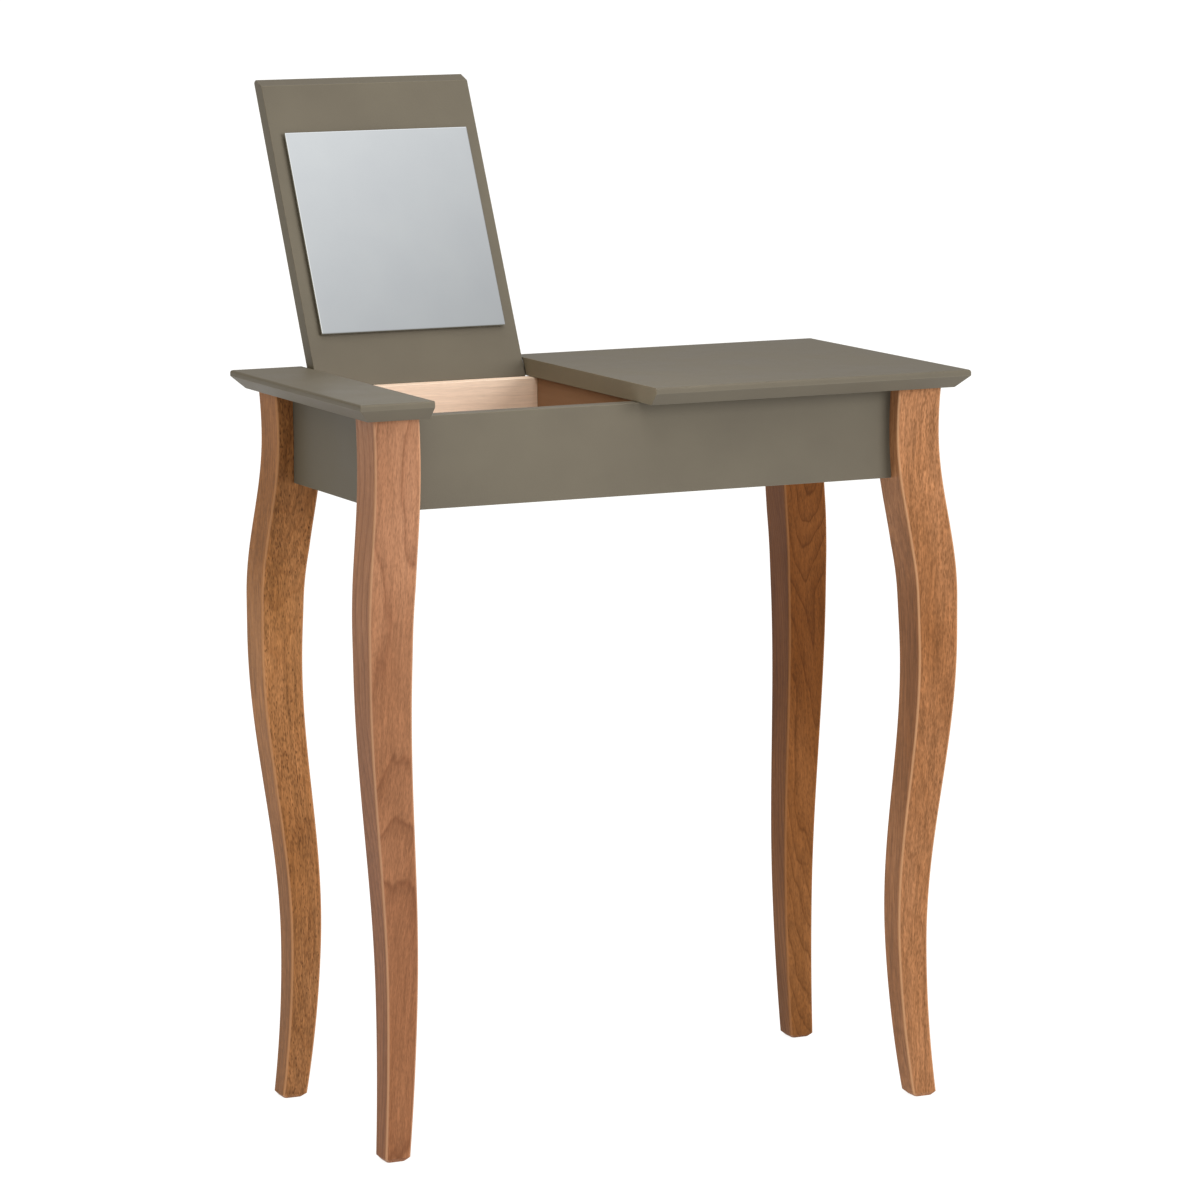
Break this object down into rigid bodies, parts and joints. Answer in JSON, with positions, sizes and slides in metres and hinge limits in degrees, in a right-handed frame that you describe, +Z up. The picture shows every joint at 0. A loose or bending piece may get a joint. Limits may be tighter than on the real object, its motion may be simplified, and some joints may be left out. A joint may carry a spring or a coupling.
{
  "type": "dressing table",
  "caption": "Small dressing table on S-curved wooden legs, with a hinged part of the top that opens to show a mirror and a shallow compartment.",
  "frame": {"origin": "on the floor, midway between the table's sides and midway between the front edge of the top and the rearmost point of the open lid", "axes": "+X to the right as seen from the front, +Y to the back, +Z up"},
  "size_m": [0.65, 0.4732, 1.0209],
  "materials": {
    "painted_mdf": "satin taupe-grey lacquer on MDF",
    "stained_beech": "stained and oiled beech, satin",
    "pale_beech": "clear-finished pale beech",
    "plywood": "sanded beech plywood",
    "mirror_glass": "silvered glass with polished edges",
    "zinc_plated_steel": "zinc plated",
    "nylon": "natural nylon",
    "foam_tape": "white mounting tape"
  },
  "bodies": {
    "table": {"apron_back": "pale_beech", "apron_front": "painted_mdf", "apron_left": "painted_mdf", "apron_right": "painted_mdf", "cleat_left": "pale_beech", "cleat_middle": "pale_beech", "cleat_right": "pale_beech", "compartment_floor": "plywood", "compartment_wall_left": "plywood", "compartment_wall_right": "plywood", "dowel_back_left_lower": "pale_beech", "dowel_back_left_upper": "pale_beech", "dowel_back_right_lower": "pale_beech", "dowel_back_right_upper": "pale_beech", "dowel_front_left_lower": "pale_beech", "dowel_front_left_upper": "pale_beech", "dowel_front_right_lower": "pale_beech", "dowel_front_right_upper": "pale_beech", "dowel_left_back_lower": "pale_beech", "dowel_left_back_upper": "pale_beech", "dowel_left_front_lower": "pale_beech", "dowel_left_front_upper": "pale_beech", "dowel_right_back_lower": "pale_beech", "dowel_right_back_upper": "pale_beech", "dowel_right_front_lower": "pale_beech", "dowel_right_front_upper": "pale_beech", "floor_batten_back": "pale_beech", "floor_batten_front": "pale_beech", "leg_back_left": "stained_beech", "leg_back_right": "stained_beech", "leg_front_left": "stained_beech", "leg_front_right": "stained_beech", "panel_screw_left_back": "zinc_plated_steel", "panel_screw_left_front": "zinc_plated_steel", "panel_screw_middle_back": "zinc_plated_steel", "panel_screw_middle_front": "zinc_plated_steel", "panel_screw_right_back": "zinc_plated_steel", "panel_screw_right_front": "zinc_plated_steel", "pivot_bush_left": "nylon", "pivot_bush_right": "nylon", "pivot_washer_left": "zinc_plated_steel", "pivot_washer_right": "zinc_plated_steel", "top_panel_left": "painted_mdf", "top_panel_right": "painted_mdf"},
    "lid": {"lid": "painted_mdf", "mirror": "mirror_glass", "mirror_tape_left": "foam_tape", "mirror_tape_right": "foam_tape", "pivot_pin_left": "zinc_plated_steel", "pivot_pin_right": "zinc_plated_steel"}
  },
  "joints": [
    {"name": "lid_hinge", "type": "hinge", "parent": "table", "child": "lid", "pos_m": [0, 0.08736, 0.731], "axis": [1, 0, 0], "range_deg": [0, 116]}
  ]
}
